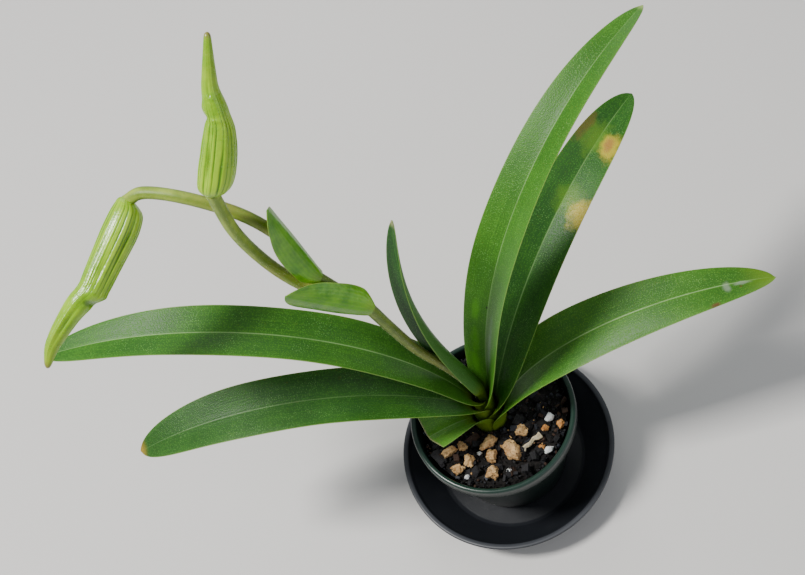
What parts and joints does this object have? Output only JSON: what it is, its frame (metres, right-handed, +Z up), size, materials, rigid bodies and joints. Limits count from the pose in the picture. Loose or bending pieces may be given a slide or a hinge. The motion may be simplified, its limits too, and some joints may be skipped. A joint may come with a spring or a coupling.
{
  "type": "potted phragmipedium orchid",
  "caption": "Slipper orchid in bud: a fan of strap leaves and an arching stalk with ribbed buds, growing in bark and stone in a round nursery pot that stands on a saucer.",
  "frame": {"origin": "centre of the saucer's flat underside, on the surface it stands on", "axes": "+Z up, along the axis of the pot and the saucer; the leaves open in two ranks towards +X and -X; the flower stalk leans towards -X and +Y"},
  "size_m": [0.3723, 0.1535, 0.3935],
  "materials": {
    "saucer_plastic": "satin black",
    "pot_plastic": "satin dark green",
    "potting_bark": "rough, damp, near black",
    "tan_stone": "rough porous tan",
    "white_perlite": "rough white",
    "pale_root": "dull, pale bone",
    "stem_green": "smooth yellow-green",
    "leaf_green": "satin, finely pebbled green",
    "leaf_dark_green": "satin, finely pebbled dark green",
    "stalk_olive_green": "short fine down on olive green",
    "bract_green": "satin bright green",
    "bud_yellow_green": "ribbed, satin yellow-green"
  },
  "bodies": {
    "root": {"saucer": "saucer_plastic", "pot": "pot_plastic", "potting_mix": "potting_bark", "stone_01": "tan_stone", "stone_02": "tan_stone", "stone_03": "tan_stone", "stone_04": "tan_stone", "stone_05": "tan_stone", "stone_06": "tan_stone", "stone_07": "tan_stone", "stone_08": "tan_stone", "stone_09": "tan_stone", "stone_10": "tan_stone", "stone_11": "tan_stone", "stone_12": "tan_stone", "perlite_01": "white_perlite", "perlite_02": "white_perlite", "perlite_03": "white_perlite", "perlite_04": "white_perlite", "perlite_05": "white_perlite", "dead_root": "pale_root", "rootstock": "stem_green", "leaf_young": "leaf_dark_green", "leaf_left_upper": "leaf_green", "leaf_right_tall": "leaf_green", "leaf_left_lower": "leaf_dark_green", "leaf_right_spotted": "leaf_dark_green", "leaf_cut_stub": "leaf_green", "leaf_right_low": "leaf_green", "bract_lower": "bract_green", "bract_upper": "bract_green", "flower_stalk": "stalk_olive_green", "pedicel_lower": "stalk_olive_green", "pedicel_upper": "stalk_olive_green", "bud_upright": "bud_yellow_green", "bud_nodding": "bud_yellow_green"}
  },
  "joints": []
}
